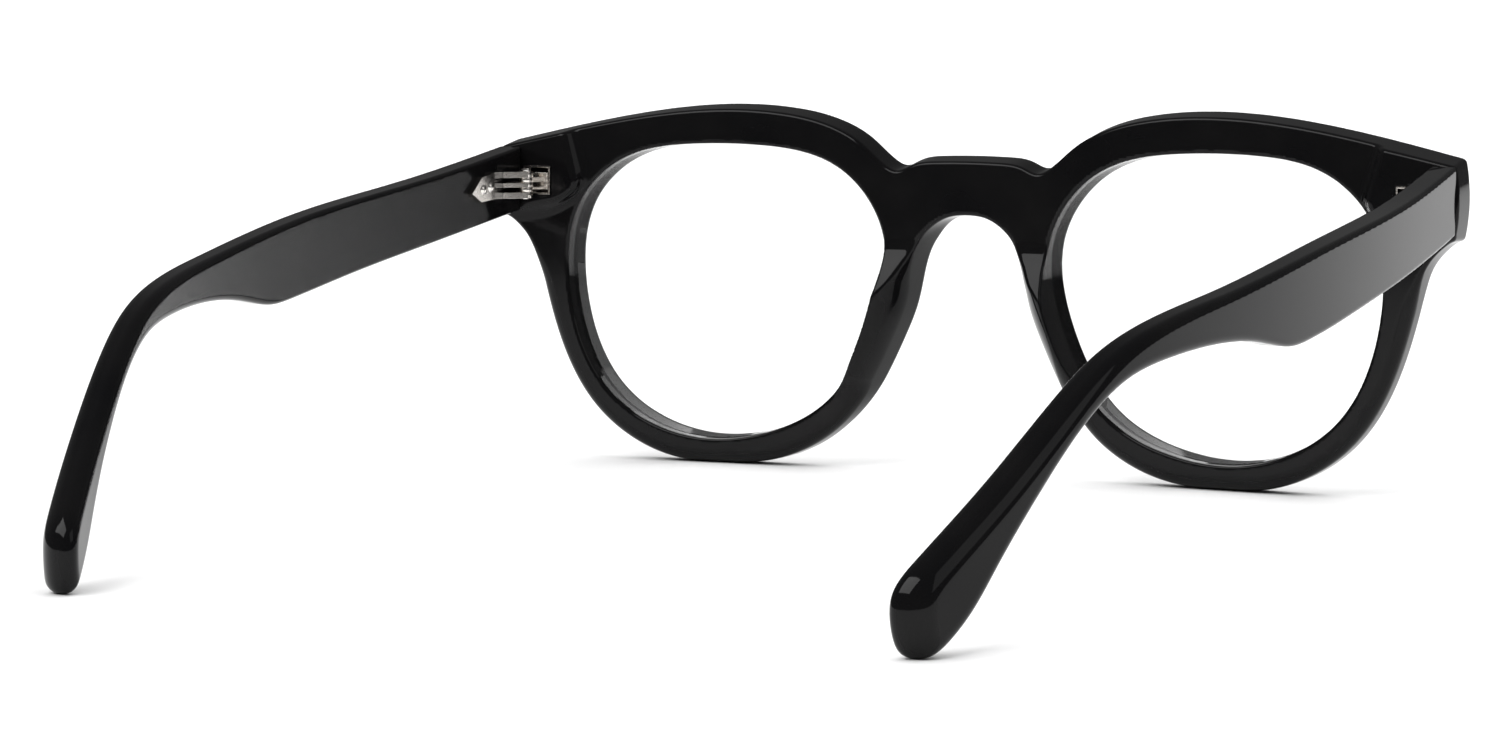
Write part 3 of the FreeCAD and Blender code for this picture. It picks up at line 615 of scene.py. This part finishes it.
# ---------------------------------------------------------------------------------------------------------
# Lenses
# ---------------------------------------------------------------------------------------------------------
def lens_mesh(side, name):
    """A clear plate of the opening's shape with a slightly eased rim."""
    turn = math.radians(LENS_TILT)
    edge = spline([(p[0] - LENS_CENTRE_X, p[1]) for p in lens_points], closed=True, step=0.8)
    out = edge / np.linalg.norm(edge, axis=1, keepdims=True)
    middle = LENS_CENTRE_X**2 / (2 * WRAP_RADIUS)
    half = LENS_THICKNESS / 2
    back = [(LENS_TUCK, half - LENS_EASE), (LENS_TUCK - LENS_EASE, half)]
    rings = [(grow, -y) for grow, y in back[::-1]] + back
    points, faces = [], []
    for grow, y in rings:
        for u, v in edge + out * grow:
            points.append((side * (LENS_CENTRE_X + u * math.cos(turn) - y * math.sin(turn)),
                           middle + y * math.cos(turn) + u * math.sin(turn), v))
    count = len(edge)
    for k in range(len(rings) - 1):
        for i in range(count):
            j = (i + 1) % count
            faces.append((k * count + i, k * count + j, (k + 1) * count + j, (k + 1) * count + i))
    faces.append(tuple(range(count))[::-1])
    faces.append(tuple(range((len(rings) - 1) * count, len(rings) * count)))
    if side < 0:
        faces = [f[::-1] for f in faces]
    made = piece(f"lens_clear_{name}", np.array(points), faces, None, LENS)
    made.data.set_sharp_from_angle(angle=math.radians(30))
    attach(made, "front")
    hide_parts(f"lens_{name}")


for side, name in SIDES:
    lens_mesh(side, name)

# ---------------------------------------------------------------------------------------------------------
# Hinge hardware keeps its CAD shape, with eased edges
# ---------------------------------------------------------------------------------------------------------
# CAD nodes of each side, their material and the width in millimetres that their edges are eased by
HARDWARE = (
    ("front_hinge_leaf", HINGE_METAL, 0.06),
    ("temple_hinge_leaf", HINGE_METAL, 0.08),
    ("hinge_screw", SCREW_METAL, 0.05),
    ("temple_rivets", RIVET_METAL, 0.03),
    ("hinge_bezel", TRAY_METAL_PAINTED_SHADE, 0.05),
)


def ease(node, material, width):
    """Gives a CAD node its material and rounds its sharp edges by a small width in millimetres."""
    shown = frame["nodes"][node]
    shown.data.materials.clear()
    shown.data.materials.append(material)
    weld = shown.modifiers.new("weld", "WELD")
    weld.merge_threshold = 0.000002
    rounding = shown.modifiers.new("ease", "BEVEL")
    rounding.width = width * MM
    rounding.segments = 2
    rounding.limit_method = "ANGLE"
    rounding.angle_limit = math.radians(35)


for side, name in SIDES:
    for node, material, width in HARDWARE:
        ease(f"{node}_{name}", material, width)

# ---------------------------------------------------------------------------------------------------------
# Floor, light and camera
# ---------------------------------------------------------------------------------------------------------
# Opposite corners of the floor, in metres
FLOOR_LOW = (-2.4, -3.4)
FLOOR_HIGH = (2.4, 1.4)
# Lamps: name, place, aim and size in metres, watts, and whether they show in reflections. The two wide ones
# whiten the floor, the key is high behind the wearer and the weak side lamp is at the wearer's right
LAMPS = (
    ("overhead", (0.2, -0.6, 1.3), (0.2, -0.4, 0.0), (3.4, 2.0), 40.0, False),
    ("far_wash", (0.8, -2.6, 1.2), (0.8, -2.4, 0.0), (3.0, 1.4), 29.0, False),
    ("key", (0.45, 0.85, 1.25), (0.0, -0.05, 0.0), (1.2, 0.9), 14.0, True),
    ("side", (-1.2, 0.1, 0.8), (0.0, 0.0, 0.0), (0.8, 0.8), 1.6, True),
)
# The room is white where the camera sees it, and only this bright where it lights or is mirrored
ROOM_LIGHT = 0.12
# The camera in the front's frame: lens, sensor and place in millimetres, and yaw, pitch and roll in radians
FOCAL_LENGTH = 109.483
SENSOR_WIDTH = 36.0
CAMERA_PLACE = (-259.295, 586.957, 38.125)
CAMERA_TURN = (0.464429, 0.0769010, 0.00791476)


def floor():
    """A pale matt floor without reflections."""
    material, tree, shader, place = new_material("pale_floor")
    ramp(tree, noise(tree, place, 8.0), (0.93, 0.93, 0.93), (0.95, 0.95, 0.95), shader.inputs["Base Color"])
    shader.inputs["Roughness"].default_value = 0.9
    shader.inputs["Specular IOR Level"].default_value = 0.0
    mesh = bpy.data.meshes.new("floor")
    (west, south), (east, north) = FLOOR_LOW, FLOOR_HIGH
    corners = [(west, south, 0), (east, south, 0), (east, north, 0), (west, north, 0)]
    mesh.from_pydata(corners, [], [(0, 1, 2, 3)])
    mesh.materials.append(material)
    made = bpy.data.objects.new("floor", mesh)
    bpy.context.scene.collection.objects.link(made)


def lamps():
    """The area lamps of the table."""
    for name, at, aim, size, power, reflected in LAMPS:
        data = bpy.data.lights.new(name, "AREA")
        data.shape = "RECTANGLE"
        data.size, data.size_y = size
        data.energy = power
        lamp = bpy.data.objects.new(name, data)
        lamp.location = at
        lamp.visible_glossy = reflected
        lamp.rotation_euler = (Vector(aim) - Vector(at)).to_track_quat("-Z", "Y").to_euler()
        bpy.context.scene.collection.objects.link(lamp)


def room():
    """A world that is white to the camera and dim to the object, and a view transform that keeps it white."""
    world = bpy.data.worlds.new("studio")
    world.use_nodes = True
    nodes, links = world.node_tree.nodes, world.node_tree.links
    rays = nodes.new("ShaderNodeLightPath")
    strength = nodes.new("ShaderNodeMapRange")
    strength.inputs["To Min"].default_value = ROOM_LIGHT
    links.new(rays.outputs["Is Camera Ray"], strength.inputs[0])
    nodes["Background"].inputs["Color"].default_value = (1, 1, 1, 1)
    links.new(strength.outputs[0], nodes["Background"].inputs["Strength"])
    bpy.context.scene.world = world
    bpy.context.scene.view_settings.view_transform = "Standard"


def camera():
    """The camera behind the wearer's right shoulder, where the photograph was taken from."""
    data = bpy.data.cameras.new("camera")
    data.sensor_width = SENSOR_WIDTH
    data.lens = FOCAL_LENGTH
    made = bpy.data.objects.new("camera", data)
    yaw, pitch, roll = CAMERA_TURN
    ahead = Vector((math.sin(yaw) * math.cos(pitch), -math.cos(yaw) * math.cos(pitch), -math.sin(pitch)))
    right = Vector((-math.cos(yaw), -math.sin(yaw), 0))
    up = right.cross(ahead)
    across = math.cos(roll) * right + math.sin(roll) * up
    above = -math.sin(roll) * right + math.cos(roll) * up
    axes = TILT @ Matrix((across, above, -ahead)).transposed()
    place = (TILT @ Vector(CAMERA_PLACE) + SHIFT) * MM
    made.matrix_world = Matrix.Translation(place) @ axes.to_4x4()
    data.clip_start = 0.05
    data.clip_end = 20.0
    bpy.context.scene.collection.objects.link(made)
    bpy.context.scene.camera = made


floor()
lamps()
room()
camera()
